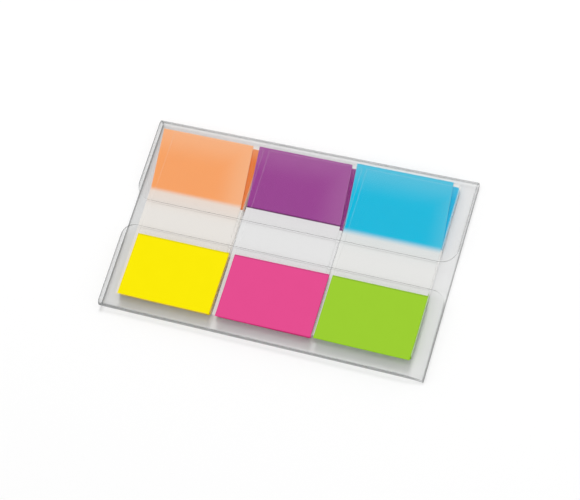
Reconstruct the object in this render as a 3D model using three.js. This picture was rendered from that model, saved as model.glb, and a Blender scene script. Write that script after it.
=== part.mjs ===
// Pocket pack of sticky index tabs, in millimetres.
// One clear sheet is folded into a wallet that lies on its back panel.
// It holds three pads of pop-up film flags side by side, with a window between its two flaps.
// X runs along the long side, Y from the near fold to the far fold, Z up from the back panel.
// The origin is under the middle of the folded wallet, on the surface that it lies on.

import * as THREE from 'three';
import { mergeVertices } from 'three/addons/utils/BufferGeometryUtils.js';

// The folded sheet
const SHEET_THICKNESS = 0.3;
const FAR_FLAP_LENGTH = 21.0;
const NEAR_FLAP_LENGTH = 21.2;
const FAR_CORNER_RADIUS = 4.0;
const NEAR_CORNER_RADIUS = 3.2;

// The near flap stands open at its left end and is pressed down past the pads at its right end
const LEFT_LIFT = 0.35;
const LEFT_LIFT_REACH = 9.0;
const RIGHT_PRESS_REACH = 6.0;
const RIGHT_PRESS_ROOM = 0.12;
const RIGHT_FOLD_HEIGHT = 0.85;
const RIGHT_CORNER_HEIGHT = 1.35;

// The film flags
const FLAG_WIDTH = 23.8;
const FLAG_LENGTH = 43.2;
const COLOUR_LENGTH = 15.7;
const FILM_THICKNESS = 0.1;
const LAYER_GAP = 0.05;

// The pads: what is left under the two loose flags of each column.
// Its flags face the near and the far fold in turn, and those that face the near one lie further back.
const PAD_FLAGS = 18;
const PAD_FLAG_PITCH = 0.075;
const PAD_CORNER_RADIUS = 0.5;
const PAD_CORNER_SEGMENTS = 3;
const PAD_STAGGER = 0.9;

// How far the front flags rise from the window to their coloured ends
const RISE_AT_COLOUR = 0.15;
const RISE_AT_TIP = 0.35;

// How far the second flags bow up under the far flap
const SECOND_BOW = 0.1;

// Fineness of the round stretches
const FOLD_STEPS = 12;
const CORNER_STEPS = 8;
const STATION_PITCH = 6.0;
const FILM_STEPS = 6;

// Corners closer together than this are one vertex
const SAME_CORNER = 1e-4;

// Room left round the pads inside the folded sheet
const LEFT_MARGIN = 3.8;
const RIGHT_MARGIN = 4.1;
const NEAR_MARGIN = 3.0;
const FAR_MARGIN = 1.9;

// Each column from left to right. Gap is the room between a pad and the one on its left.
// Set back is how much further a pad lies from the near fold than the first one.
// Slip is how far a loose flag's near left corner lies from its pad's.
// Creep is how far the far end of the second flag has slid to the left.
const COLUMNS = [
  {
    name: 'orange_yellow',
    gap: 0,
    setBack: 0,
    padColour: 0xf0e9e2,
    front: { name: 'yellow', colour: 0xf7e600, slipX: 0.6, slipY: 0.4, turn: 0.0 },
    second: { name: 'orange', colour: 0xf39a4e, slipX: -0.6, slipY: 0.7, creep: 1.8 },
  },
  {
    name: 'purple_pink',
    gap: 1.5,
    setBack: 0.1,
    padColour: 0xeee6ec,
    front: { name: 'pink', colour: 0xe34e90, slipX: 0.65, slipY: 0.3, turn: 0.007 },
    second: { name: 'purple', colour: 0x96418c, slipX: -0.7, slipY: 0.8, creep: 1.6 },
  },
  {
    name: 'blue_green',
    gap: 0.4,
    setBack: 0.6,
    padColour: 0xe6edf0,
    front: { name: 'green', colour: 0x9ccb30, slipX: 0.35, slipY: 0.0, turn: 0.0 },
    second: { name: 'blue', colour: 0x22b4da, slipX: -0.1, slipY: 0.9, creep: 1.55 },
  },
];

// Length of a pad, round the flags that face either way
const PAD_LENGTH = FLAG_LENGTH + PAD_STAGGER;

// Size of the folded sheet, which takes the pads
const ALL_GAPS = COLUMNS.reduce((sum, column) => sum + column.gap, 0);
const SHEET_WIDTH = LEFT_MARGIN + COLUMNS.length * FLAG_WIDTH + ALL_GAPS + RIGHT_MARGIN;
const FOLDED_DEPTH = NEAR_MARGIN + PAD_LENGTH + FAR_MARGIN;

// Heights that follow from the stack: panel, pad, second flag, front flag, far flap
const PAD_BOTTOM = SHEET_THICKNESS + LAYER_GAP;
const PAD_TOP = PAD_BOTTOM + PAD_FLAGS * PAD_FLAG_PITCH;
const SECOND_LOW = PAD_TOP + LAYER_GAP;
const SECOND_HIGH = SECOND_LOW + SECOND_BOW;
const FRONT_LOW = SECOND_HIGH + FILM_THICKNESS + LAYER_GAP;
const FAR_HEIGHT = FRONT_LOW + FILM_THICKNESS + LAYER_GAP + SHEET_THICKNESS;
const NEAR_HEIGHT = SECOND_LOW + FILM_THICKNESS + LAYER_GAP + RIGHT_PRESS_ROOM + SHEET_THICKNESS;

// Places that follow from the folded sheet
const HALF_WIDTH = SHEET_WIDTH / 2;
const HALF_DEPTH = FOLDED_DEPTH / 2;
const FAR_FREE_EDGE = HALF_DEPTH - FAR_FLAP_LENGTH;
const NEAR_FREE_EDGE = -HALF_DEPTH + NEAR_FLAP_LENGTH;

// How much a square corner of the given radius is cut back at this distance from its side
function cornerCut(fromSide, radius) {
  if (fromSide >= radius) return 0;
  const along = radius - fromSide;
  return radius - Math.sqrt(radius * radius - along * along);
}

// 0 away from an end of the sheet, growing to 1 at the end itself
function towardsEnd(fromSide, reach) {
  const share = Math.max(0, 1 - fromSide / reach);
  return share * share;
}

// Outside height of the near flap at its fold and at its free edge
function nearFlapHeights(x) {
  const left = LEFT_LIFT * towardsEnd(x + HALF_WIDTH, LEFT_LIFT_REACH);
  const right = towardsEnd(HALF_WIDTH - x, RIGHT_PRESS_REACH);
  const open = NEAR_HEIGHT + left;
  return {
    fold: THREE.MathUtils.lerp(open, RIGHT_FOLD_HEIGHT, right),
    edge: THREE.MathUtils.lerp(open, RIGHT_CORNER_HEIGHT, right),
  };
}

// Points round a fold, from one angle to another, in the Y-Z plane
function foldArc(centreY, centreZ, radius, from, to) {
  const arc = new THREE.EllipseCurve(centreY, centreZ, radius, radius, from, to, to < from);
  return arc.getPoints(FOLD_STEPS);
}

// The sheet's cut section at one place along X, as a closed outline in the Y-Z plane
function sheetSection(x) {
  const fromSide = HALF_WIDTH - Math.abs(x);
  const near = nearFlapHeights(x);
  const farRadius = FAR_HEIGHT / 2;
  const nearRadius = near.fold / 2;
  const farCentre = HALF_DEPTH - farRadius;
  const nearCentre = -HALF_DEPTH + nearRadius;
  const farEdge = FAR_FREE_EDGE + cornerCut(fromSide, FAR_CORNER_RADIUS);
  const nearEdge = NEAR_FREE_EDGE - cornerCut(fromSide, NEAR_CORNER_RADIUS);
  const up = Math.PI / 2;
  const inside = SHEET_THICKNESS;
  return [
    new THREE.Vector2(farEdge, FAR_HEIGHT),
    new THREE.Vector2(farEdge, FAR_HEIGHT - inside),
    ...foldArc(farCentre, farRadius, farRadius - inside, up, -up),
    ...foldArc(nearCentre, nearRadius, nearRadius - inside, -up, -3 * up),
    new THREE.Vector2(nearEdge, near.edge - inside),
    new THREE.Vector2(nearEdge, near.edge),
    ...foldArc(nearCentre, nearRadius, nearRadius, -3 * up, -up),
    ...foldArc(farCentre, farRadius, farRadius, -up, up),
  ];
}

// Places along X where the section is taken: close together round the corners
function stations() {
  const places = [];
  const radius = Math.max(FAR_CORNER_RADIUS, NEAR_CORNER_RADIUS, RIGHT_PRESS_REACH);
  for (let i = 0; i <= CORNER_STEPS; i += 1) {
    const turn = (Math.PI / 2) * (i / CORNER_STEPS);
    places.push(-HALF_WIDTH + radius * (1 - Math.cos(turn)));
  }
  const middle = SHEET_WIDTH - 2 * radius;
  const spans = Math.ceil(middle / STATION_PITCH);
  for (let i = 1; i < spans; i += 1) {
    places.push(-HALF_WIDTH + radius + (middle * i) / spans);
  }
  for (let i = CORNER_STEPS; i >= 0; i -= 1) {
    const turn = (Math.PI / 2) * (i / CORNER_STEPS);
    places.push(HALF_WIDTH - radius * (1 - Math.cos(turn)));
  }
  return places;
}

// Closed body through sections of equal point count, each in a plane across X.
// Each section runs with the material on its left as seen from +X.
function loft(places, sectionAt) {
  const sections = places.map(sectionAt);
  const count = sections[0].length;
  const positions = [];
  sections.forEach((section, i) => {
    section.forEach((point) => positions.push(places[i], point.x, point.y));
  });
  const index = [];
  for (let i = 0; i + 1 < sections.length; i += 1) {
    for (let j = 0; j < count; j += 1) {
      const next = (j + 1) % count;
      const a = i * count + j;
      const b = i * count + next;
      const c = (i + 1) * count + next;
      const d = (i + 1) * count + j;
      index.push(a, c, d, a, b, c);
    }
  }
  const last = (sections.length - 1) * count;
  const startCap = THREE.ShapeUtils.triangulateShape(sections[0], []);
  const endCap = THREE.ShapeUtils.triangulateShape(sections[sections.length - 1], []);
  startCap.forEach(([a, b, c]) => index.push(a, c, b));
  endCap.forEach(([a, b, c]) => index.push(last + a, last + b, last + c));
  const geometry = new THREE.BufferGeometry();
  geometry.setAttribute('position', new THREE.Float32BufferAttribute(positions, 3));
  geometry.setIndex(index);
  return geometry;
}

// A strip of film: heightAt gives its underside along Y, and shift moves it along X
function filmStrip(length, heightAt, breaks, shift) {
  const marks = [0, ...breaks, length].sort((a, b) => a - b);
  const along = [];
  for (let i = 0; i + 1 < marks.length; i += 1) {
    for (let j = 0; j < FILM_STEPS; j += 1) {
      along.push(marks[i] + ((marks[i + 1] - marks[i]) * j) / FILM_STEPS);
    }
  }
  along.push(length);
  const underside = along.map((y) => new THREE.Vector2(y, heightAt(y)));
  const topside = along.map((y) => new THREE.Vector2(y, heightAt(y) + FILM_THICKNESS)).reverse();
  const section = new THREE.Shape([...underside, ...topside]);
  const geometry = new THREE.ExtrudeGeometry(section, { depth: FLAG_WIDTH, bevelEnabled: false });
  const acrossX = new THREE.Matrix4().makeBasis(
    new THREE.Vector3(0, 1, 0),
    new THREE.Vector3(0, 0, 1),
    new THREE.Vector3(1, 0, 0),
  );
  geometry.applyMatrix4(acrossX);
  const position = geometry.getAttribute('position');
  for (let i = 0; i < position.count; i += 1) {
    position.setX(i, position.getX(i) + shift(position.getY(i)));
  }
  return closed(geometry);
}

// The same body with one vertex at each corner
function closed(geometry) {
  geometry.deleteAttribute('normal');
  geometry.deleteAttribute('uv');
  const merged = mergeVertices(geometry, SAME_CORNER);
  merged.computeVertexNormals();
  return merged;
}

function ease(from, to, share) {
  return from + (to - from) * THREE.MathUtils.smoothstep(share, 0, 1);
}

// The front flag comes from under the far flap, through the window, and out over the near flap.
// Heights are given along the strip from its near end.
function frontFlag(nearEnd) {
  const clearOfFlap = NEAR_HEIGHT + LEFT_LIFT + LAYER_GAP;
  const atColour = clearOfFlap + RISE_AT_COLOUR;
  const atTip = atColour + RISE_AT_TIP;
  const farEdge = FAR_FREE_EDGE - nearEnd;
  const nearEdge = NEAR_FREE_EDGE - nearEnd;
  const heightAt = (y) => {
    if (y <= COLOUR_LENGTH) return THREE.MathUtils.lerp(atTip, atColour, y / COLOUR_LENGTH);
    if (y <= nearEdge) {
      const share = (y - COLOUR_LENGTH) / (nearEdge - COLOUR_LENGTH);
      return THREE.MathUtils.lerp(atColour, clearOfFlap, share);
    }
    if (y <= farEdge) return ease(clearOfFlap, FRONT_LOW, (y - nearEdge) / (farEdge - nearEdge));
    return FRONT_LOW;
  };
  const breaks = [COLOUR_LENGTH, nearEdge, farEdge];
  return filmStrip(FLAG_LENGTH, heightAt, breaks, () => 0);
}

// The second flag lies on the pad, and its coloured end bows up under the far flap
function secondFlag(nearEnd, creep) {
  const bowStart = NEAR_FREE_EDGE - nearEnd;
  const colourStart = FLAG_LENGTH - COLOUR_LENGTH;
  const heightAt = (y) => {
    if (y <= bowStart) return SECOND_LOW;
    return ease(SECOND_LOW, SECOND_HIGH, (y - bowStart) / (colourStart - bowStart));
  };
  const slide = (y) => -creep * Math.max(0, (y - colourStart) / COLOUR_LENGTH);
  return filmStrip(FLAG_LENGTH, heightAt, [bowStart, colourStart], slide);
}

// The rest of the column: flags laid head to tail and stuck together, so one body
function pad() {
  const r = PAD_CORNER_RADIUS;
  const right = FLAG_WIDTH;
  const far = PAD_LENGTH;
  const up = Math.PI / 2;
  const outline = new THREE.Shape();
  outline.moveTo(r, 0);
  outline.lineTo(right - r, 0);
  outline.absarc(right - r, r, r, -up, 0);
  outline.lineTo(right, far - r);
  outline.absarc(right - r, far - r, r, 0, up);
  outline.lineTo(r, far);
  outline.absarc(r, far - r, r, up, 2 * up);
  outline.lineTo(0, r);
  outline.absarc(r, r, r, 2 * up, 3 * up);
  const geometry = new THREE.ExtrudeGeometry(outline, {
    depth: PAD_FLAGS * PAD_FLAG_PITCH,
    bevelEnabled: false,
    curveSegments: PAD_CORNER_SEGMENTS,
  });
  return closed(geometry);
}

const filmFinish = { roughness: 0.45, metalness: 0, side: THREE.DoubleSide };

function film(colour) {
  return new THREE.MeshStandardMaterial({ color: colour, ...filmFinish });
}

const clearSheet = new THREE.MeshStandardMaterial({
  color: 0xdfe3e4,
  roughness: 0.12,
  metalness: 0,
  transparent: true,
  opacity: 0.35,
});

const group = new THREE.Group();

const holder = new THREE.Mesh(closed(loft(stations(), sheetSection)), clearSheet);
holder.name = 'holder';
group.add(holder);

let padLeft = -HALF_WIDTH + LEFT_MARGIN;
COLUMNS.forEach((column) => {
  const x = padLeft + column.gap;
  const y = -HALF_DEPTH + NEAR_MARGIN + column.setBack;
  padLeft = x + FLAG_WIDTH;

  const padMesh = new THREE.Mesh(pad(), film(column.padColour));
  padMesh.name = `pad_${column.name}`;
  padMesh.position.set(x, y, PAD_BOTTOM);
  group.add(padMesh);

  const second = column.second;
  const secondEnd = y + second.slipY;
  const secondMesh = new THREE.Mesh(secondFlag(secondEnd, second.creep), film(second.colour));
  secondMesh.name = `second_flag_${second.name}`;
  secondMesh.position.set(x + second.slipX, secondEnd, 0);
  group.add(secondMesh);

  const front = column.front;
  const frontEnd = y + front.slipY;
  const frontMesh = new THREE.Mesh(frontFlag(frontEnd), film(front.colour));
  frontMesh.name = `front_flag_${front.name}`;
  frontMesh.position.set(x + front.slipX, frontEnd, 0);
  frontMesh.rotation.z = front.turn;
  group.add(frontMesh);
});

export default group;
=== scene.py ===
# %% [markdown]
# # Sticky index tabs in a clear wallet
# A pocket pack of index tabs is thin film and clear plastic, so nearly everything that makes it
# look real is light: what shines through the film, what the sheet's cut edges catch, and the soft
# tinted shadows under the pulled-out flags. We load the solid model first and keep its box, because
# every piece that we make here has to stay inside it.

import math
import random

import bpy
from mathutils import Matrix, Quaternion, Vector


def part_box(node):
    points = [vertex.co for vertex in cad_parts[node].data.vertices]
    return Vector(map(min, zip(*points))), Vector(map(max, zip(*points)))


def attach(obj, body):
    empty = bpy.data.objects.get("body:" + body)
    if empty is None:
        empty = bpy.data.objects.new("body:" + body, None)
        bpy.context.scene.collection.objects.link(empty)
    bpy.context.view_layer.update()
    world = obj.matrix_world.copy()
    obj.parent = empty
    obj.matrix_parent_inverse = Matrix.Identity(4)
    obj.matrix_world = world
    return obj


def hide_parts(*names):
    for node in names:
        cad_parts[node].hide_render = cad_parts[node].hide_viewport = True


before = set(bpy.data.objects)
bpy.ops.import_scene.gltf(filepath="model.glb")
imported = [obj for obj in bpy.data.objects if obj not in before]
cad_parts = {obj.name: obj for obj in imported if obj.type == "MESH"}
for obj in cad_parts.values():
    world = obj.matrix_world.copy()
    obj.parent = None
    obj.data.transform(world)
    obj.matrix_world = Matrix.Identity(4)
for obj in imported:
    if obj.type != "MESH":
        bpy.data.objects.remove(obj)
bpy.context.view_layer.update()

MM = 0.001
print("nodes:", ", ".join(sorted(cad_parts)))

# %% [markdown]
# ## Camera
# The pack lies on its back and is seen from above, to its right, with the picture turned so that
# its long side runs down to the right. A long lens at a real distance gives the slight
# convergence of the edges. The turn of the picture is a roll about the lens axis.

# %% Camera
CAMERA_PLACE = Vector((127.9, -109.4, 369.5)) * MM
CAMERA_AIM = Vector((0.83, -0.65, 0.0)) * MM
CAMERA_ROLL = math.radians(-34.52)
SENSOR_WIDTH = 36.0
PICTURE_WIDTH = 580
FOCAL_PIXELS = 1719.6


def make_camera():
    data = bpy.data.cameras.new("camera")
    data.sensor_width = SENSOR_WIDTH
    data.lens = FOCAL_PIXELS * SENSOR_WIDTH / PICTURE_WIDTH
    data.clip_start = 0.01
    data.clip_end = 20.0
    camera = bpy.data.objects.new("camera", data)
    camera.location = CAMERA_PLACE
    camera.rotation_mode = "QUATERNION"
    level = (CAMERA_AIM - CAMERA_PLACE).to_track_quat("-Z", "Y")
    camera.rotation_quaternion = level @ Quaternion((0, 0, 1), CAMERA_ROLL)
    bpy.context.collection.objects.link(camera)
    bpy.context.scene.camera = camera
    return camera


camera = make_camera()
print("lens in mm:", round(camera.data.lens, 1))

# %% [markdown]
# ## Helpers for shader nodes
# The room and every material below are built from nodes. Small helpers keep that readable: they
# add a node and set its sockets by name, open and place a node group, and give the commonest
# nodes a short call. Colours are written as the usual six-digit codes and turned into the linear
# values that Blender works in.

# %% Node helpers


def paint(code):
    """A six-digit colour code as linear red, green, blue and a full alpha."""
    parts = [int(code[i:i + 2], 16) / 255 for i in (0, 2, 4)]
    linear = [p / 12.92 if p <= 0.04045 else ((p + 0.055) / 1.055) ** 2.4 for p in parts]
    return (*linear, 1.0)


def add(tree, kind, values=None, **settings):
    """A new node with its settings and socket values; a socket as a value is linked."""
    node = tree.nodes.new("ShaderNode" + kind)
    for key, value in settings.items():
        setattr(node, key, value)
    for key, value in (values or {}).items():
        if isinstance(value, bpy.types.NodeSocket):
            tree.links.new(value, node.inputs[key])
        else:
            node.inputs[key].default_value = value
    return node


def math_node(tree, operation, first, second, clamp=False):
    node = add(tree, "Math", {0: first, 1: second}, operation=operation, use_clamp=clamp)
    return node.outputs[0]


def ramp(tree, value, start, stop, low=0.0, high=1.0, kind="LINEAR"):
    """The value's run from start to stop, turned into a run from low to high."""
    ends = {"Value": value, "From Min": start, "From Max": stop, "To Min": low, "To Max": high}
    return add(tree, "MapRange", ends, interpolation_type=kind).outputs["Result"]


def blend(tree, share, first, second):
    """Two colours mixed by a share."""
    colours = {"Factor": share, "A": first, "B": second}
    return add(tree, "Mix", colours, data_type="RGBA").outputs["Result"]


def open_group(name, inputs, outputs):
    """A new shader node group; each socket is a name and a kind."""
    tree = bpy.data.node_groups.new(name, "ShaderNodeTree")
    for title, kind in inputs:
        tree.interface.new_socket(title, in_out="INPUT", socket_type="NodeSocket" + kind)
    for title, kind in outputs:
        tree.interface.new_socket(title, in_out="OUTPUT", socket_type="NodeSocket" + kind)
    return tree, tree.nodes.new("NodeGroupInput"), tree.nodes.new("NodeGroupOutput")


def use_group(tree, group, values):
    return add(tree, "Group", values, node_tree=group)


print("yellow in linear light:", [round(v, 3) for v in paint("f8e800")[:3]])

# %% [markdown]
# ## Studio light
# The light is a white room plus one soft lamp from behind, which lays short shadows in front of
# the flags. Together they light a level surface so that a colour renders as it is written. The
# camera and shiny surfaces see a white room, while the room's light on matt surfaces is set apart
# from that with the Light Path node. Light goes in and out through many layers of film, so the
# number of clear layers it may pass is raised.

# %% Lamp, room and view settings
ROOM_LIGHT = 0.65
LAMP_PLACE = Vector((0.02, 0.96, 1.42))
LAMP_SIZE = 0.50
LAMP_POWER = 4.65
LAYERS_PASSED = 48
WHITE = (1.0, 1.0, 1.0, 1.0)


def make_room():
    world = bpy.data.worlds.new("room")
    world.use_nodes = True
    tree = world.node_tree
    tree.nodes.clear()
    out = add(tree, "OutputWorld")
    rays = add(tree, "LightPath").outputs
    seen = math_node(tree, "MAXIMUM", rays["Is Camera Ray"], rays["Is Transmission Ray"])
    shiny = math_node(tree, "MAXIMUM", seen, rays["Is Glossy Ray"])
    strength = ramp(tree, shiny, 0.0, 1.0, ROOM_LIGHT, 1.0)
    back = add(tree, "Background", {"Color": WHITE, "Strength": strength})
    tree.links.new(back.outputs["Background"], out.inputs["Surface"])
    bpy.context.scene.world = world


def make_lamp():
    data = bpy.data.lights.new("soft_lamp", "AREA")
    data.shape = "DISK"
    data.size = LAMP_SIZE
    data.energy = LAMP_POWER * LAMP_PLACE.length_squared
    lamp = bpy.data.objects.new("soft_lamp", data)
    lamp.location = LAMP_PLACE
    lamp.rotation_mode = "QUATERNION"
    lamp.rotation_quaternion = (-LAMP_PLACE).to_track_quat("-Z", "Y")
    bpy.context.collection.objects.link(lamp)
    return lamp


make_room()
lamp = make_lamp()
scene = bpy.context.scene
scene.view_settings.view_transform = "Standard"
scene.cycles.transparent_max_bounces = LAYERS_PASSED
height = math.degrees(math.asin(LAMP_PLACE.normalized().z))
print("lamp height in degrees:", round(height, 1))

# %% [markdown]
# ## Effect: a coloured end
# Each flag is one strip of film that is printed at one end and left frosted at the other. The
# printed end could be a second mesh, but on the real flag it is the same film, so a mask along
# the strip is truer. Every flag carries its own places, counted from its coloured end, so one group
# serves them all, whichever way they lie. The softness is given apart, because some colour edges are
# seen through a gap under frosted film and look blurred.

# %% Group: coloured end


def make_coloured_end():
    tree, given, put = open_group(
        "coloured end",
        [("Place", "Vector"), ("Length", "Float"), ("Softness", "Float")],
        [("Mask", "Float")],
    )
    split = add(tree, "SeparateXYZ", {0: given.outputs["Place"]})
    left = math_node(tree, "SUBTRACT", given.outputs["Length"], split.outputs["Y"])
    low = math_node(tree, "MULTIPLY", given.outputs["Softness"], -1.0)
    mask = ramp(tree, left, low, given.outputs["Softness"], kind="SMOOTHSTEP")
    tree.links.new(mask, put.inputs["Mask"])
    return tree


coloured_end = make_coloured_end()
print("group:", coloured_end.name)

# %% [markdown]
# ## Effect: film grain
# Printed and frosted film both have a fine tooth. Two octaves of noise, one at the scale
# of the tooth and one much broader, give a value for roughness and a height for bump.

# %% Group: film grain
BROAD_SHARE = 24.0


def make_film_grain():
    tree, given, put = open_group(
        "film grain",
        [("Place", "Vector"), ("Scale", "Float"), ("Amount", "Float")],
        [("Value", "Float"), ("Height", "Float")],
    )
    fine = add(
        tree, "TexNoise",
        {"Vector": given.outputs["Place"], "Scale": given.outputs["Scale"], "Detail": 3.0},
    )
    broad_scale = math_node(tree, "DIVIDE", given.outputs["Scale"], BROAD_SHARE)
    broad = add(
        tree, "TexNoise",
        {"Vector": given.outputs["Place"], "Scale": broad_scale, "Detail": 2.0},
    )
    both = math_node(tree, "ADD", fine.outputs["Fac"], broad.outputs["Fac"])
    centred = math_node(tree, "SUBTRACT", both, 1.0)
    value = math_node(tree, "MULTIPLY", centred, given.outputs["Amount"])
    height = math_node(tree, "MULTIPLY", fine.outputs["Fac"], given.outputs["Amount"])
    tree.links.new(value, put.inputs["Value"])
    tree.links.new(height, put.inputs["Height"])
    return tree


film_grain = make_film_grain()
print("group:", film_grain.name)

# %% [markdown]
# ## Effect: handling marks
# A clear wallet that slides in and out of pockets has hairline scuffs. Long thin streaks come
# from noise whose place is squeezed along one direction, cut off high so that few remain.

# %% Group: handling marks
STREAK_SCALE = (60.0, 2400.0, 60.0)
STREAK_CUT = 0.82
STREAK_TOP = 0.85


def make_handling_marks():
    tree, given, put = open_group(
        "handling marks",
        [("Place", "Vector"), ("Turn", "Vector"), ("Density", "Float")],
        [("Mask", "Float")],
    )
    squeeze = {"Rotation": given.outputs["Turn"], "Scale": STREAK_SCALE}
    squeezed = add(tree, "Mapping", {"Vector": given.outputs["Place"], **squeeze})
    noise = {"Vector": squeezed.outputs["Vector"], "Scale": 1.0, "Detail": 2.0}
    streaks = add(tree, "TexNoise", noise)
    cut = math_node(tree, "SUBTRACT", STREAK_CUT, given.outputs["Density"])
    mask = ramp(tree, streaks.outputs["Fac"], cut, STREAK_TOP, kind="SMOOTHSTEP")
    tree.links.new(mask, put.inputs["Mask"])
    return tree


handling_marks = make_handling_marks()
print("group:", handling_marks.name)

# %% [markdown]
# ## Effect: border
# Two things follow a flag's outline: a hair of wear along its cut edges, and the wide pale haze
# where film stands a little off the colour under it. Both are the same mask with another width:
# how close a point is to the nearest side of a box.

# %% Group: border


def make_border():
    tree, given, put = open_group(
        "border",
        [("Place", "Vector"), ("Low", "Vector"), ("High", "Vector"), ("Width", "Float")],
        [("Mask", "Float")],
    )
    place, low, high = [given.outputs[key] for key in ("Place", "Low", "High")]
    above = add(tree, "VectorMath", {0: place, 1: low}, operation="SUBTRACT")
    below = add(tree, "VectorMath", {0: high, 1: place}, operation="SUBTRACT")
    sides = {0: above.outputs[0], 1: below.outputs[0]}
    near = add(tree, "VectorMath", sides, operation="MINIMUM")
    split = add(tree, "SeparateXYZ", {0: near.outputs[0]})
    least = math_node(tree, "MINIMUM", split.outputs["X"], split.outputs["Y"])
    mask = ramp(tree, least, 0.0, given.outputs["Width"], 1.0, 0.0, "SMOOTHSTEP")
    tree.links.new(mask, put.inputs["Mask"])
    return tree


border = make_border()
print("group:", border.name)

# %% [markdown]
# ## The strip of film
# A flag is far thinner than it is wide, so we make it from pairs of points, one on its upper
# face and one on its lower face, along its length and across its width. The same builder makes the
# wallet further down: anything that is a bent sheet of even thickness is such a run of pairs.
# Faces of the cut edges get their own material slot and flat shading, and their borders are marked
# sharp, so that the smooth faces beside them stay level up to the edge.

# %% A bent sheet from pairs of points


def sheet_mesh(name, rows, face_material, edge_material):
    """rows[i][j] is a pair (outer point, inner point); i runs across, j along the sheet."""
    across = len(rows)
    along = len(rows[0])
    points = []
    for row in rows:
        points += [outer for outer, inner in row]
        points += [inner for outer, inner in row]
    stride = 2 * along
    faces = []
    kinds = []

    def outer_at(i, j):
        return i * stride + j

    def inner_at(i, j):
        return i * stride + along + j

    for i in range(across - 1):
        for j in range(along - 1):
            k = i + 1
            n = j + 1
            faces.append((outer_at(i, j), outer_at(k, j), outer_at(k, n), outer_at(i, n)))
            faces.append((inner_at(i, j), inner_at(i, n), inner_at(k, n), inner_at(k, j)))
            kinds += [0, 0]
        last = along - 1
        faces.append((outer_at(i, 0), inner_at(i, 0), inner_at(i + 1, 0), outer_at(i + 1, 0)))
        far_side = outer_at(i, last), outer_at(i + 1, last)
        faces.append((*far_side, inner_at(i + 1, last), inner_at(i, last)))
        kinds += [1, 1]
    end = across - 1
    for j in range(along - 1):
        n = j + 1
        faces.append((outer_at(0, j), outer_at(0, n), inner_at(0, n), inner_at(0, j)))
        faces.append((outer_at(end, j), inner_at(end, j), inner_at(end, n), outer_at(end, n)))
        kinds += [1, 1]
    mesh = bpy.data.meshes.new(name)
    mesh.from_pydata(points, [], faces)
    mesh.materials.append(face_material)
    mesh.materials.append(edge_material)
    for polygon, kind in zip(mesh.polygons, kinds):
        polygon.material_index = kind
        polygon.use_smooth = kind == 0
        if kind == 1:
            for loop in polygon.loop_indices:
                mesh.edges[mesh.loops[loop].edge_index].use_edge_sharp = True
    mesh.update()
    piece = bpy.data.objects.new(name, mesh)
    bpy.context.collection.objects.link(piece)
    return piece


def put_in_place(piece, node):
    """The piece stands for the node and moves with the body."""
    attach(piece, "root")
    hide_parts(node)
    size = [round(side / MM, 2) for side in piece.dimensions]
    print(piece.name, "faces", len(piece.data.polygons), "size in mm", size)


# %% [markdown]
# ## Finish of the flags
# The printed end is satin, with a little more ink along the line where the print stops. The frosted
# end is nearly invisible where it lies close on something, and shows by its cut edges. Both come
# from one material per colour: the coloured-end mask mixes the colours and the alpha. The rim colour
# serves three things: the cut edges, a wide border that pales the second flags where the film above
# them stands off, and a softer mask that lets a little colour bleed into the frosted film. Film
# glows when light shines through it, so it is clearer to light than to the camera, which keeps the
# shadows under the flags soft. The cut sides of a pile get a painted glow, an emission in the film's
# colour that lightens their shade.

# %% Film material
FLAG_LENGTH = 43.2 * MM
COLOUR_LENGTH = 15.7 * MM
FILM = 0.06 * MM
FILM_ALPHA = 0.006
FILM_GLOSS = 0.04
FILM_IOR = 1.46
EDGE_ALPHA = 0.08
LIGHT_ALPHA = 0.50
FAR_AWAY = 1.0
CUT_WIDTH = 0.25 * MM
INK_LINE = 0.35 * MM
BLEED_REACH = 2 * MM
BLEED_SOFTNESS = 4 * MM
FILM_ROUGHNESS = 0.42
FILM_UNEVEN = 0.22
FILM_TONE = 0.03
FILM_GRAIN = 5200.0
FILM_STREAKS = {"Turn": (0.0, 0.0, 0.5), "Density": 0.10}
STREAK_POLISH = 0.12
FILM_BUMP = {"Strength": 0.10, "Distance": 0.02 * MM}
BLACK = (0.0, 0.0, 0.0, 1.0)

PLAIN_LOOK = {
    "softness": 0.05 * MM, "wear": 0.5, "haze": 0.0, "haze_width": 8 * MM, "haze_past": 0.0,
    "bleed": 0.0, "line": 0.2, "alpha": FILM_ALPHA, "light_alpha": FILM_ALPHA, "more": 0.0,
    "glow": 0.0,
}


def open_material(name):
    """A new material, its node tree and the output, which is its only node."""
    material = bpy.data.materials.new(name)
    material.use_nodes = True
    tree = material.node_tree
    tree.nodes.clear()
    return material, tree, add(tree, "OutputMaterial")


def end_mask(tree, place, length, softness):
    values = {"Place": place, "Length": length, "Softness": softness}
    return use_group(tree, coloured_end, values).outputs["Mask"]


def worn_ink(tree, place, cut, width, look, colour, rim):
    """The colour goes over into the rim colour in the haze and along the cut edges."""
    right = width + look["haze_past"]
    hazed = {"Place": place, "Low": (-FAR_AWAY, 0.0, 0.0), "High": (right, FAR_AWAY, 0.0)}
    haze = use_group(tree, border, {**hazed, "Width": look["haze_width"]}).outputs["Mask"]
    haze = math_node(tree, "MULTIPLY", haze, look["haze"])
    hazy = blend(tree, haze, paint(colour), paint(rim))
    return blend(tree, math_node(tree, "MULTIPLY", cut, look["wear"]), hazy, paint(rim))


def film_tone(tree, mask, inner, grain, line_share):
    """A tone around 1, uneven by the grain and darker along the line where the print stops."""
    line = math_node(tree, "SUBTRACT", mask, inner, clamp=True)
    line = math_node(tree, "MULTIPLY", line, -line_share)
    uneven = math_node(tree, "MULTIPLY", grain.outputs["Value"], FILM_TONE)
    return math_node(tree, "ADD", math_node(tree, "ADD", uneven, line), 1.0)


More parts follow.
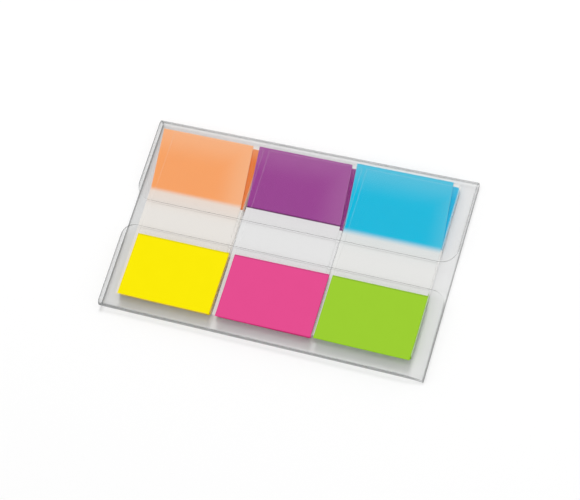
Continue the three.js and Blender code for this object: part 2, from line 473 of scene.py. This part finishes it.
def film_alpha(tree, mask, cut, look):
    """One alpha for the camera, with the cut edges in it, and another for the light."""
    edged = math_node(tree, "MULTIPLY", cut, EDGE_ALPHA)
    lowest = math_node(tree, "ADD", edged, look["alpha"], clamp=True)
    seen = ramp(tree, mask, 0.0, 1.0, lowest, 1.0)
    lit = ramp(tree, mask, 0.0, 1.0, look["light_alpha"], LIGHT_ALPHA)
    camera_ray = add(tree, "LightPath").outputs["Is Camera Ray"]
    return add(tree, "Mix", {"Factor": camera_ray, "A": lit, "B": seen}).outputs["Result"]


def film_roughness(tree, place, grain):
    """A satin tooth, which the handling marks polish away."""
    marks = use_group(tree, handling_marks, {"Place": place, **FILM_STREAKS}).outputs["Mask"]
    rough = math_node(tree, "MULTIPLY", grain.outputs["Value"], FILM_UNEVEN)
    rough = math_node(tree, "ADD", rough, FILM_ROUGHNESS)
    polished = math_node(tree, "MULTIPLY", marks, STREAK_POLISH)
    return math_node(tree, "SUBTRACT", rough, polished, clamp=True)


def painted_side_glow(tree, colour, strength):
    """A painted glow: the film's colour on upright faces, and black on level ones."""
    normal = add(tree, "NewGeometry").outputs["True Normal"]
    level = add(tree, "SeparateXYZ", {0: normal}).outputs["Z"]
    level = math_node(tree, "ABSOLUTE", level, 0.0)
    upright = math_node(tree, "SUBTRACT", 1.0, level)
    return blend(tree, math_node(tree, "MULTIPLY", upright, strength), BLACK, colour)


def film_material(name, colour, rim, frosted, width, changes):
    """Film of this width; changes to the plain look give its haze, bleed and clearness."""
    look = {**PLAIN_LOOK, **changes}
    material, tree, out = open_material(name)
    place = add(tree, "Attribute", attribute_name="strip_place").outputs["Vector"]
    grain = use_group(tree, film_grain, {"Place": place, "Scale": FILM_GRAIN, "Amount": 1.0})
    coloured = COLOUR_LENGTH + look["more"]
    mask = end_mask(tree, place, coloured, look["softness"])
    inner = end_mask(tree, place, coloured - INK_LINE, look["softness"])
    bleed = end_mask(tree, place, coloured + BLEED_REACH, BLEED_SOFTNESS)
    whole = {"Place": place, "Low": (0.0, 0.0, 0.0), "High": (width, FLAG_LENGTH, 0.0)}
    cut = use_group(tree, border, {**whole, "Width": CUT_WIDTH}).outputs["Mask"]
    ink = worn_ink(tree, place, cut, width, look, colour, rim)
    tone = film_tone(tree, mask, inner, grain, look["line"])
    toned = add(tree, "HueSaturation", {"Color": ink, "Value": tone}).outputs["Color"]
    bleed = math_node(tree, "MULTIPLY", bleed, look["bleed"])
    clear = blend(tree, bleed, paint(frosted), paint(rim))
    both = blend(tree, mask, clear, toned)
    bump = add(tree, "Bump", {**FILM_BUMP, "Height": grain.outputs["Height"]})
    shader = add(
        tree, "BsdfPrincipled",
        {
            "Base Color": both, "Roughness": film_roughness(tree, place, grain),
            "Alpha": film_alpha(tree, mask, cut, look), "Normal": bump.outputs["Normal"],
            "IOR": FILM_IOR, "Specular IOR Level": FILM_GLOSS,
        },
    )
    # A painted glow: emission in the film's colour on upright faces lightens their shade.
    if look["glow"]:
        glow = painted_side_glow(tree, both, look["glow"])
        tree.links.new(glow, shader.inputs["Emission Color"])
        shader.inputs["Emission Strength"].default_value = 1.0
    tree.links.new(shader.outputs["BSDF"], out.inputs["Surface"])
    return material


print("clear film lets through", round((1 - FILM_ALPHA) ** 2, 3), "of what lies under it")

# %% [markdown]
# ## The look of the three columns
# The flags' places come from the solid model's nodes, so that they follow it. What is added here
# is the look of each column: its two colours, how sharply the far colour ends and how hazy it
# looks at its border. Past moves the haze out beyond the right edge, more lengthens the far colour,
# and inset trims the front flag's left side, which opens the gap beside its neighbour.

# %% Columns
COLUMNS = [
    {
        "front": "yellow", "second": "orange", "pad": "orange_yellow",
        "near_colour": "f8e800", "near_rim": "f0c400", "far_colour": "f7a264", "far_rim": "f6bc92",
        "deep_colour": "e67a36", "frosted": "e6e2dd", "haze": 0.55, "softness": 0.75 * MM,
        "bleed": 0.30, "line": 0.0, "creep": 1.8 * MM, "turn": 0.0, "past": 0.0, "more": 0.0,
        "inset": 0.0,
    },
    {
        "front": "pink", "second": "purple", "pad": "purple_pink",
        "near_colour": "e24c8e", "near_rim": "d0106c", "far_colour": "984090", "far_rim": "b074a8",
        "deep_colour": "86287a", "frosted": "e3e3e3", "haze": 0.36, "softness": 0.08 * MM,
        "bleed": 0.08, "line": 0.6, "creep": 1.6 * MM, "turn": 0.007, "past": 0.0, "more": 0.0,
        "inset": 0.0,
    },
    {
        "front": "green", "second": "blue", "pad": "blue_green",
        "near_colour": "9acb30", "near_rim": "80bc10", "far_colour": "04b8dc", "far_rim": "72c6dc",
        "deep_colour": "00b0dc", "frosted": "e4e4e2", "haze": 0.50, "softness": 1.0 * MM,
        "bleed": 0.10, "line": 0.0, "creep": 1.55 * MM, "turn": 0.0, "past": 3 * MM, "more": 1.2 * MM,
        "inset": 0.6 * MM,
    },
]
holder_low, holder_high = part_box("holder")
wallet_size = [round(side / MM, 2) for side in (holder_high - holder_low)]
print("columns:", len(COLUMNS), "wallet in mm:", wallet_size)

# %% [markdown]
# ## One strip of film
# A strip is built in its own places, then set down on the pack. Its own places stay with its
# points as a named attribute, because the finish is counted from the coloured end.

# %% A strip with its own places
STEPS_ALONG = 72
STEPS_ACROSS = 16


def smooth(share):
    share = min(max(share, 0.0), 1.0)
    return share * share * (3 - 2 * share)


def mix(a, b, share):
    return a + (b - a) * share


def keep_places(mesh, places):
    """Store each point's place on its own flag, counted from the coloured end."""
    attribute = mesh.attributes.new("strip_place", "FLOAT_VECTOR", "POINT")
    for item, place in zip(attribute.data, places):
        item.vector = place


def strip_piece(name, width, height_at, slide_at, corner, turn, coloured_far, material):
    """height_at(share across, y) and slide_at(y) shape it; corner is its near left corner."""
    rotation = Quaternion((0, 0, 1), turn)
    rows = []
    places = []
    for i in range(STEPS_ACROSS + 1):
        x = width * i / STEPS_ACROSS
        row = []
        own = []
        for j in range(STEPS_ALONG + 1):
            y = FLAG_LENGTH * j / STEPS_ALONG
            flat = Vector((x + slide_at(y), y, height_at(x / width, y)))
            low = rotation @ flat + corner
            row.append((low + Vector((0, 0, FILM)), low))
            own.append(Vector((x, FLAG_LENGTH - y if coloured_far else y, 0.0)))
        rows.append(row)
        places += own + own
    piece = sheet_mesh(name, rows, material, material)
    keep_places(piece.data, places)
    return piece


print("points in a strip:", 2 * (STEPS_ALONG + 1) * (STEPS_ACROSS + 1))

# %% [markdown]
# ## Front flags
# A front flag starts under the far flap, crosses the window and lies out over the near flap. Film
# is springy, so it doesn't lie flat: it rises where it leaves the wallet and its free corners
# lift by a hair. We follow the heights of the solid and add that curl inside its box.

# %% Front flags
NEAR_EDGE = -3.3 * MM
FAR_EDGE = 3.5 * MM
SOLID_FILM = 0.1 * MM
RISE_AT_TIP = 0.35 * MM
RISE_AT_COLOUR = 0.15 * MM
CURL = 0.10 * MM


def make_front(column):
    node = "front_flag_" + column["front"]
    low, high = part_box(node)
    turn = column["turn"]
    lean = FLAG_LENGTH * math.sin(turn)
    inset = column["inset"]
    width = (high.x - low.x - lean) / math.cos(turn) - inset
    at_tip = high.z - SOLID_FILM
    at_colour = at_tip - RISE_AT_TIP
    at_window = at_colour - RISE_AT_COLOUR
    near_edge = NEAR_EDGE - low.y
    far_edge = FAR_EDGE - low.y

    def height_at(share, y):
        if y < COLOUR_LENGTH:
            tip = smooth(1 - y / COLOUR_LENGTH)
            sag = CURL * tip * (1 - tip * (2 * share - 1) ** 2)
            return mix(at_tip, at_colour, y / COLOUR_LENGTH) - sag
        if y < near_edge:
            return mix(at_colour, at_window, (y - COLOUR_LENGTH) / (near_edge - COLOUR_LENGTH))
        return mix(at_window, low.z, smooth((y - near_edge) / (far_edge - near_edge)))

    colours = column["near_colour"], column["near_rim"], column["frosted"]
    material = film_material(column["front"] + "_film", *colours, width, {})
    corner = Vector((low.x + lean + inset, low.y, 0.0))
    name = "film_" + column["front"]
    piece = strip_piece(name, width, height_at, lambda y: 0.0, corner, turn, False, material)
    put_in_place(piece, node)
    return piece


for column in COLUMNS:
    make_front(column)

# %% [markdown]
# ## Second flags
# The second flag lies the other way round. Its coloured end is under the far flap, and it has
# crept a little to the left at its far end, as pulled film does. A pile of frosted film lies under
# its other end and turns it white, so it is opaque.

# %% Second flags
SECOND_LIGHT_ALPHA = 0.10


def make_second(column):
    node = "second_flag_" + column["second"]
    low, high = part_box(node)
    colour_start = FLAG_LENGTH - COLOUR_LENGTH
    creep = column["creep"]
    width = high.x - low.x - creep
    bow_start = NEAR_EDGE - low.y

    def height_at(share, y):
        bowed = smooth((y - bow_start) / (colour_start - bow_start))
        return mix(low.z, high.z - SOLID_FILM, bowed)

    def slide_at(y):
        return -creep * max(0.0, (y - colour_start) / COLOUR_LENGTH)

    changes = {
        "softness": column["softness"], "haze": column["haze"], "bleed": column["bleed"],
        "line": column["line"], "alpha": 1.0, "light_alpha": SECOND_LIGHT_ALPHA,
        "haze_past": column["past"], "more": column["more"],
    }
    colours = column["far_colour"], column["far_rim"], column["frosted"]
    material = film_material(column["second"] + "_film", *colours, width, changes)
    corner = Vector((low.x + creep, low.y, 0.0))
    name = "film_" + column["second"]
    piece = strip_piece(name, width, height_at, slide_at, corner, 0.0, True, material)
    put_in_place(piece, node)
    return piece


for column in COLUMNS:
    make_second(column)

# %% [markdown]
# ## Pads
# The rest of each column is a pad of flags laid head to tail. On the real pad the layers are seen
# at the edges, so each layer is its own thin slab here, and each is shifted by a hair. The top
# one is see-through at its far end, so that the colour of the flag under it shows at the rim. The
# others are opaque, because a pile of frosted film is white. The flags that face the far fold are
# cut back at their clear end, where the pile is only as long as its coloured flags.

# %% Pads
PAD_LAYERS = 18
LAYER_SHARE = 0.97
CORNER = 0.5 * MM
CORNER_STEPS = 4
SCATTER = 0.05 * MM
CUT_BACK = 1.0 * MM
# The strength of the painted glow that lightens the shade on the piles' cut sides.
PAINTED_SIDE_GLOW = 0.28
PILE_LIGHT_ALPHA = 0.01
FAR_HAZE = 0.3
FAR_HAZE_WIDTH = 3.5 * MM


def flag_outline(width, start, stop):
    """A flag's outline with rounded corners, counter-clockwise from above."""
    corners = [(0.0, start, 180), (width, start, 270), (width, stop, 0), (0.0, stop, 90)]
    outline = []
    for x, y, turn in corners:
        centre_x = x + (CORNER if x == 0 else -CORNER)
        centre_y = y + (CORNER if y == start else -CORNER)
        for step in range(CORNER_STEPS + 1):
            angle = math.radians(turn + 90 * step / CORNER_STEPS)
            across = centre_x + CORNER * math.cos(angle)
            outline.append(Vector((across, centre_y + CORNER * math.sin(angle), 0.0)))
    return outline


def pad_materials(column, width):
    name = column["pad"]
    pile = {"alpha": 1.0, "light_alpha": PILE_LIGHT_ALPHA, "glow": PAINTED_SIDE_GLOW}
    far = {**pile, "haze": FAR_HAZE, "haze_width": FAR_HAZE_WIDTH, "haze_past": FAR_AWAY}
    far_colours = column["deep_colour"], column["far_rim"], column["frosted"]
    near_colours = column["near_colour"], column["near_rim"], column["frosted"]
    return [
        film_material(name + "_far_layers", *far_colours, width, far),
        film_material(name + "_near_layers", *near_colours, width, pile),
        film_material(name + "_top_layer", *near_colours, width, {"glow": PAINTED_SIDE_GLOW}),
    ]


def make_pad(column):
    node = "pad_" + column["pad"]
    low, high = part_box(node)
    pitch = (high.z - low.z) / PAD_LAYERS
    width = high.x - low.x - SCATTER
    near_outline = flag_outline(width, 0.0, FLAG_LENGTH)
    far_outline = flag_outline(width, CUT_BACK, FLAG_LENGTH)
    count = len(near_outline)
    shuffle = random.Random(column["pad"])
    points = []
    places = []
    faces = []
    kinds = []
    for layer in range(PAD_LAYERS):
        faces_near = layer % 2 == 1
        jitter = Vector((shuffle.uniform(0, SCATTER), shuffle.uniform(0, SCATTER), 0.0))
        start = high.y - FLAG_LENGTH - SCATTER if faces_near else low.y
        corner = Vector((low.x, start, low.z + pitch * layer)) + jitter
        outline = near_outline if faces_near else far_outline
        own = outline if faces_near else [Vector((p.x, FLAG_LENGTH - p.y, 0.0)) for p in outline]
        first = len(points)
        points += [corner + p for p in outline]
        points += [corner + p + Vector((0, 0, pitch * LAYER_SHARE)) for p in outline]
        places += own + own
        faces.append([first + i for i in reversed(range(count))])
        faces.append([first + count + i for i in range(count)])
        for i in range(count):
            after = (i + 1) % count
            faces.append([first + i, first + after, first + count + after, first + count + i])
        kind = 2 if layer == PAD_LAYERS - 1 else int(faces_near)
        kinds += [kind] * (count + 2)
    mesh = bpy.data.meshes.new("pad_layers_" + column["pad"])
    mesh.from_pydata(points, [], faces)
    keep_places(mesh, places)
    for material in pad_materials(column, width):
        mesh.materials.append(material)
    for polygon, kind in zip(mesh.polygons, kinds):
        polygon.material_index = kind
    mesh.update()
    piece = bpy.data.objects.new("pad_layers_" + column["pad"], mesh)
    bpy.context.collection.objects.link(piece)
    put_in_place(piece, node)
    return piece


for column in COLUMNS:
    make_pad(column)

# %% [markdown]
# ## Finish of the clear wallet
# Clear plastic sheet could be real glass-like transmission, but at a third of a millimetre there is
# nothing to refract, and light would no longer reach the flags cleanly. So the sheet is a glossy
# surface with a low alpha. Its folds turn greyer where they are seen edge-on, the near one most,
# and so do its cut sides. The back panel lies close on the desk and gets a higher alpha than the
# flaps, painted shade that darkens it, and more towards its left end, and the flaps have a denser
# strip at their own left ends. The left and right sides carry a darker rim, partly the cut edge and
# partly painted shadow for the contact shadow beside it. The cut edges are a second, darker
# material, because a cut edge gathers the light of the whole sheet.

# %% Clear sheet and cut edge
SHEET_TINT = "8e9090"
EDGE_TINT = "4a4c4c"
FLAP_ALPHA = 0.009
# The panel's higher alpha is painted shade, which darkens it against the flaps.
PANEL_SHADE_ALPHA = 0.070
LEFT_ALPHA = 0.045
# A darker band along the left and right sides, partly the cut edge and partly painted shadow.
RIM_SHADOW_ALPHA = 0.24
RIM_SHADOW_WIDTH = 0.45 * MM
FOLD_START = 0.08
FOLD_FULL = 0.72
FOLD_SHADE = 0.22
FAR_FOLD_SHARE = 0.62
FAR_FOLD_FROM = 16 * MM
FAR_FOLD_TO = 22 * MM
FLAT_SHARE = 0.10
BEND_FROM = 23.05 * MM
BEND_TO = 23.35 * MM
PANEL_TOP = 0.4 * MM
SCUFF_ALPHA = 0.04
SCUFF_ROUGHNESS = 0.25
SCUFFS_ALONG = {"Turn": (0.0, 0.0, 0.25), "Density": 0.12}
SCUFFS_ACROSS = {"Turn": (0.0, 0.0, 1.9), "Density": 0.10}
END_ALPHA = 0.17
END_FULL = 0.65 * MM
END_GONE = 1.05 * MM
SHEET_GRAIN = 900.0
SHEET_TONE = 0.04
SHEET_UNEVEN = 0.05
SHEET_BUMP = {"Strength": 0.06, "Distance": 0.03 * MM}
SHEET_IOR = 1.5


def sheet_scuffs(tree, place):
    marks = use_group(tree, handling_marks, {"Place": place, **SCUFFS_ALONG}).outputs["Mask"]
    cross = use_group(tree, handling_marks, {"Place": place, **SCUFFS_ACROSS}).outputs["Mask"]
    return math_node(tree, "MAXIMUM", marks, cross)


def face_alpha(tree, place, split, scuffs):
    """The alpha of the panel and the flaps, with their left ends, side rims and scuffs; the panel's
    extra alpha is painted shade, and the side rims are partly painted shadow.
    """
    x = split.outputs["X"]
    left = ramp(tree, x, holder_low.x, 0.0, PANEL_SHADE_ALPHA + LEFT_ALPHA, PANEL_SHADE_ALPHA)
    strip = holder_low.x + END_FULL, holder_low.x + END_GONE
    flap_end = ramp(tree, x, *strip, END_ALPHA, FLAP_ALPHA, "SMOOTHSTEP")
    base = ramp(tree, split.outputs["Z"], PANEL_TOP, 2 * PANEL_TOP, left, flap_end)
    beyond = Vector((0, FAR_AWAY, 0))
    rim_shadow_box = {"Place": place, "Low": holder_low - beyond, "High": holder_high + beyond}
    # The side rims: a darker band, partly the cut edge and partly painted shadow.
    rim = use_group(tree, border, {**rim_shadow_box, "Width": RIM_SHADOW_WIDTH}).outputs["Mask"]
    base = math_node(tree, "ADD", base, math_node(tree, "MULTIPLY", rim, RIM_SHADOW_ALPHA))
    return math_node(tree, "ADD", base, math_node(tree, "MULTIPLY", scuffs, SCUFF_ALPHA))


def fold_share(tree, split, flat_share):
    """How far the sheet is seen edge-on: less for light, at the far fold and off the folds."""
    facing = add(tree, "LayerWeight", {"Blend": 0.5}).outputs["Facing"]
    edge_on = ramp(tree, facing, FOLD_START, FOLD_FULL, kind="SMOOTHSTEP")
    camera_ray = add(tree, "LightPath").outputs["Is Camera Ray"]
    share = math_node(tree, "MAXIMUM", camera_ray, FOLD_SHADE)
    edge_on = math_node(tree, "MULTIPLY", edge_on, share)
    y = split.outputs["Y"]
    fainter = ramp(tree, y, FAR_FOLD_FROM, FAR_FOLD_TO, 1.0, FAR_FOLD_SHARE)
    edge_on = math_node(tree, "MULTIPLY", edge_on, fainter)
    from_middle = math_node(tree, "ABSOLUTE", y, 0.0)
    bent = ramp(tree, from_middle, BEND_FROM, BEND_TO, flat_share)
    return math_node(tree, "MULTIPLY", edge_on, bent)


def sheet_material(name, tint, dense, fold_alpha, flat_share, roughness):
    """dense is added to the alpha everywhere; fold_alpha is the alpha of a fold seen edge-on."""
    material, tree, out = open_material(name)
    place = add(tree, "TexCoord").outputs["Object"]
    split = add(tree, "SeparateXYZ", {0: place})
    scuffs = sheet_scuffs(tree, place)
    grain = use_group(tree, film_grain, {"Place": place, "Scale": SHEET_GRAIN, "Amount": 1.0})
    base = math_node(tree, "ADD", face_alpha(tree, place, split, scuffs), dense)
    alpha = ramp(tree, fold_share(tree, split, flat_share), 0.0, 1.0, base, fold_alpha)
    tone = math_node(tree, "MULTIPLY", grain.outputs["Value"], SHEET_TONE)
    tone = math_node(tree, "ADD", tone, 1.0)
    colour = add(tree, "HueSaturation", {"Color": paint(tint), "Value": tone})
    rough = math_node(tree, "MULTIPLY", scuffs, SCUFF_ROUGHNESS)
    rough = math_node(tree, "ADD", rough, roughness)
    uneven = math_node(tree, "MULTIPLY", grain.outputs["Value"], SHEET_UNEVEN)
    rough = math_node(tree, "ADD", rough, uneven, clamp=True)
    bump = add(tree, "Bump", {**SHEET_BUMP, "Height": grain.outputs["Height"]})
    shader = add(
        tree, "BsdfPrincipled",
        {
            "Base Color": colour.outputs["Color"], "Roughness": rough, "Alpha": alpha,
            "Normal": bump.outputs["Normal"], "IOR": SHEET_IOR,
        },
    )
    tree.links.new(shader.outputs["BSDF"], out.inputs["Surface"])
    return material


clear_sheet = sheet_material(
    "clear_sheet", SHEET_TINT, dense=0.0, fold_alpha=0.90, flat_share=FLAT_SHARE, roughness=0.10,
)
cut_edge = sheet_material(
    "sheet_cut_edge", EDGE_TINT, dense=0.42, fold_alpha=0.70, flat_share=1.0, roughness=0.22,
)
print("sheet materials:", clear_sheet.name, cut_edge.name)

# %% [markdown]
# ## The wallet
# The wallet is one sheet folded twice. Its section is a run of pairs round the two folds, taken at
# places along X that crowd together at the rounded corners. The near flap stands open at
# its left end and is pressed down past the last pad on the right, as in the solid.

# %% Wallet
SHEET = 0.3 * MM
FAR_HEIGHT = 2.45 * MM
NEAR_HEIGHT = 2.32 * MM
FAR_CORNER = 4.0 * MM
NEAR_CORNER = 3.2 * MM
LEFT_LIFT = 0.35 * MM
LEFT_REACH = 9.0 * MM
RIGHT_REACH = 6.0 * MM
RIGHT_FOLD = 0.85 * MM
RIGHT_FREE = 1.35 * MM
FOLD_STEPS = 20
FLAT_STEPS = 10
END_STEPS = 14
MIDDLE_STEPS = 24


def corner_cut(from_side, radius):
    along = max(0.0, radius - from_side)
    return radius - math.sqrt(max(0.0, radius * radius - along * along))


def towards_end(from_side, reach):
    return max(0.0, 1 - from_side / reach) ** 2


def near_heights(x):
    opened = NEAR_HEIGHT + LEFT_LIFT * towards_end(x - holder_low.x, LEFT_REACH)
    pressed = towards_end(holder_high.x - x, RIGHT_REACH)
    return mix(opened, RIGHT_FOLD, pressed), mix(opened, RIGHT_FREE, pressed)


def line_pairs(start, stop, steps):
    """Pairs from one pair to another, both ends included."""
    pairs = []
    for k in range(steps + 1):
        share = k / steps
        pairs.append(tuple(a.lerp(b, share) for a, b in zip(start, stop)))
    return pairs


def fold_pairs(x, centre_y, radius, start, stop):
    pairs = []
    for k in range(1, FOLD_STEPS):
        angle = math.radians(mix(start, stop, k / FOLD_STEPS))
        way = Vector((0, math.cos(angle), math.sin(angle)))
        centre = Vector((x, centre_y, radius))
        pairs.append((centre + way * radius, centre + way * (radius - SHEET)))
    return pairs


def wallet_row(x):
    from_side = min(x - holder_low.x, holder_high.x - x)
    fold_height, free_height = near_heights(x)
    far_radius = FAR_HEIGHT / 2
    near_radius = fold_height / 2
    far_centre = holder_high.y - far_radius
    near_centre = holder_low.y + near_radius
    far_edge = FAR_EDGE + corner_cut(from_side, FAR_CORNER)
    near_edge = NEAR_EDGE - corner_cut(from_side, NEAR_CORNER)

    def pair(y, outer, inner):
        return Vector((x, y, outer)), Vector((x, y, inner))

    far_free = pair(far_edge, FAR_HEIGHT, FAR_HEIGHT - SHEET)
    far_fold = pair(far_centre, FAR_HEIGHT, FAR_HEIGHT - SHEET)
    panel_far = pair(far_centre, 0.0, SHEET)
    panel_near = pair(near_centre, 0.0, SHEET)
    near_fold = pair(near_centre, fold_height, fold_height - SHEET)
    near_free = pair(near_edge, free_height, free_height - SHEET)
    return (
        line_pairs(far_free, far_fold, FLAT_STEPS)
        + fold_pairs(x, far_centre, far_radius, 90, -90)
        + line_pairs(panel_far, panel_near, 2 * FLAT_STEPS)
        + fold_pairs(x, near_centre, near_radius, -90, -270)
        + line_pairs(near_fold, near_free, FLAT_STEPS)
    )


def wallet_places():
    reach = RIGHT_REACH
    turns = [math.pi / 2 * k / END_STEPS for k in range(END_STEPS + 1)]
    left = [holder_low.x + reach * (1 - math.cos(t)) for t in turns]
    right = [holder_high.x - reach * (1 - math.cos(t)) for t in reversed(turns)]
    start, stop = left[-1], right[0]
    middle = [mix(start, stop, k / MIDDLE_STEPS) for k in range(1, MIDDLE_STEPS)]
    return left + middle + right


rows = [wallet_row(x) for x in wallet_places()]
wallet = sheet_mesh("clear_wallet", rows, clear_sheet, cut_edge)
put_in_place(wallet, "holder")

# %% [markdown]
# ## Floor
# A plain pale floor carries the pack's soft shadow. It lies a hair under the wallet, so that the
# two flat faces don't fight for the same height, and it isn't part of the object.

# %% Floor
FLOOR_SIZE = 6.0
FLOOR_DROP = 0.03 * MM
FLOOR_TINT = "fdfdfd"


def make_floor():
    half = FLOOR_SIZE / 2
    corners = [(-half, -half), (half, -half), (half, half), (-half, half)]
    mesh = bpy.data.meshes.new("floor")
    mesh.from_pydata([(x, y, -FLOOR_DROP) for x, y in corners], [], [(0, 1, 2, 3)])
    material = bpy.data.materials.new("floor")
    material.use_nodes = True
    shader = material.node_tree.nodes["Principled BSDF"]
    shader.inputs["Base Color"].default_value = paint(FLOOR_TINT)
    shader.inputs["Roughness"].default_value = 1.0
    shader.inputs["Specular IOR Level"].default_value = 0.0
    mesh.materials.append(material)
    floor = bpy.data.objects.new("floor", mesh)
    bpy.context.collection.objects.link(floor)


make_floor()
print("floor:", FLOOR_SIZE, "m across")
